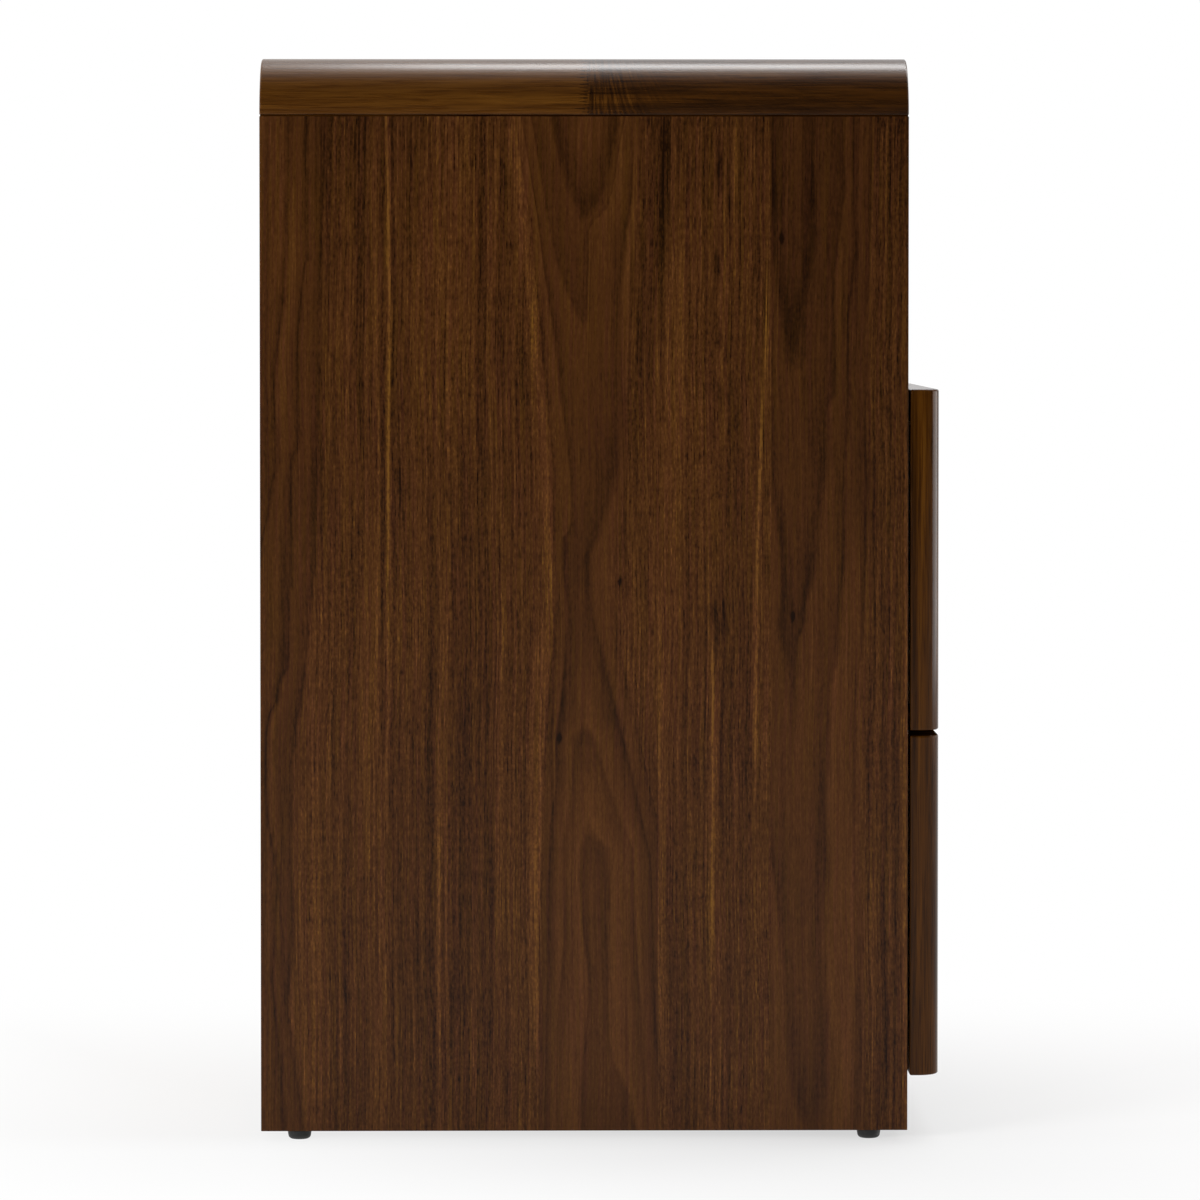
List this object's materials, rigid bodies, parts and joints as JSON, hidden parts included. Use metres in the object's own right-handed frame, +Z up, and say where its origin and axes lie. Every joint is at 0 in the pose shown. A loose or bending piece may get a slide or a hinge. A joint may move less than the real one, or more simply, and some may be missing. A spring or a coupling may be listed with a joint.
{
  "type": "dresser",
  "caption": "Low wide wooden dresser with a rounded case, inset upper drawers and proud handleless lower drawers that slide on wooden runners.",
  "frame": {"origin": "on the floor, under the middle of the dresser's box", "axes": "+X to the right of someone who faces the drawer fronts, +Y from the fronts to the back, +Z up"},
  "size_m": [1.5, 0.5, 0.8],
  "materials": {
    "walnut_veneer": "satin walnut veneer",
    "stained_solid_wood": "satin stained solid wood",
    "drawer_wood": "matt natural wood",
    "plywood": "matt plywood",
    "foot_plastic": "matt black"
  },
  "bodies": {
    "case": {"side_panel_left": "walnut_veneer", "side_panel_right": "walnut_veneer", "corner_rail_left": "stained_solid_wood", "corner_rail_right": "stained_solid_wood", "top_panel": "walnut_veneer", "bottom_panel": "walnut_veneer", "back_panel": "plywood", "centre_divider": "walnut_veneer", "drawer_rail_left": "stained_solid_wood", "drawer_rail_right": "stained_solid_wood", "foot_front_left": "foot_plastic", "foot_front_centre": "foot_plastic", "foot_front_right": "foot_plastic", "foot_back_left": "foot_plastic", "foot_back_centre": "foot_plastic", "foot_back_right": "foot_plastic", "runner_lower_left_outer": "drawer_wood", "runner_lower_left_inner": "drawer_wood", "runner_lower_right_outer": "drawer_wood", "runner_lower_right_inner": "drawer_wood", "runner_middle_left_outer": "drawer_wood", "runner_middle_left_inner": "drawer_wood", "runner_middle_right_outer": "drawer_wood", "runner_middle_right_inner": "drawer_wood", "runner_upper_left_outer": "drawer_wood", "runner_upper_left_inner": "drawer_wood", "runner_upper_right_outer": "drawer_wood", "runner_upper_right_inner": "drawer_wood"},
    "drawer_lower_left": {"drawer_lower_left_front": "walnut_veneer", "drawer_lower_left_side_left": "drawer_wood", "drawer_lower_left_side_right": "drawer_wood", "drawer_lower_left_back": "drawer_wood", "drawer_lower_left_bottom": "plywood"},
    "drawer_lower_right": {"drawer_lower_right_front": "walnut_veneer", "drawer_lower_right_side_left": "drawer_wood", "drawer_lower_right_side_right": "drawer_wood", "drawer_lower_right_back": "drawer_wood", "drawer_lower_right_bottom": "plywood"},
    "drawer_middle_left": {"drawer_middle_left_front": "walnut_veneer", "drawer_middle_left_side_left": "drawer_wood", "drawer_middle_left_side_right": "drawer_wood", "drawer_middle_left_back": "drawer_wood", "drawer_middle_left_bottom": "plywood"},
    "drawer_middle_right": {"drawer_middle_right_front": "walnut_veneer", "drawer_middle_right_side_left": "drawer_wood", "drawer_middle_right_side_right": "drawer_wood", "drawer_middle_right_back": "drawer_wood", "drawer_middle_right_bottom": "plywood"},
    "drawer_upper_left": {"drawer_upper_left_front": "walnut_veneer", "drawer_upper_left_side_left": "drawer_wood", "drawer_upper_left_side_right": "drawer_wood", "drawer_upper_left_back": "drawer_wood", "drawer_upper_left_bottom": "plywood"},
    "drawer_upper_right": {"drawer_upper_right_front": "walnut_veneer", "drawer_upper_right_side_left": "drawer_wood", "drawer_upper_right_side_right": "drawer_wood", "drawer_upper_right_back": "drawer_wood", "drawer_upper_right_bottom": "plywood"}
  },
  "joints": [
    {"name": "lower_left_slide", "type": "slide", "parent": "case", "child": "drawer_lower_left", "axis": [0, -1, 0], "range_m": [0, 0.3]},
    {"name": "lower_right_slide", "type": "slide", "parent": "case", "child": "drawer_lower_right", "axis": [0, -1, 0], "range_m": [0, 0.3]},
    {"name": "middle_left_slide", "type": "slide", "parent": "case", "child": "drawer_middle_left", "axis": [0, -1, 0], "range_m": [0, 0.3]},
    {"name": "middle_right_slide", "type": "slide", "parent": "case", "child": "drawer_middle_right", "axis": [0, -1, 0], "range_m": [0, 0.3]},
    {"name": "upper_left_slide", "type": "slide", "parent": "case", "child": "drawer_upper_left", "axis": [0, -1, 0], "range_m": [0, 0.3]},
    {"name": "upper_right_slide", "type": "slide", "parent": "case", "child": "drawer_upper_right", "axis": [0, -1, 0], "range_m": [0, 0.3]}
  ]
}
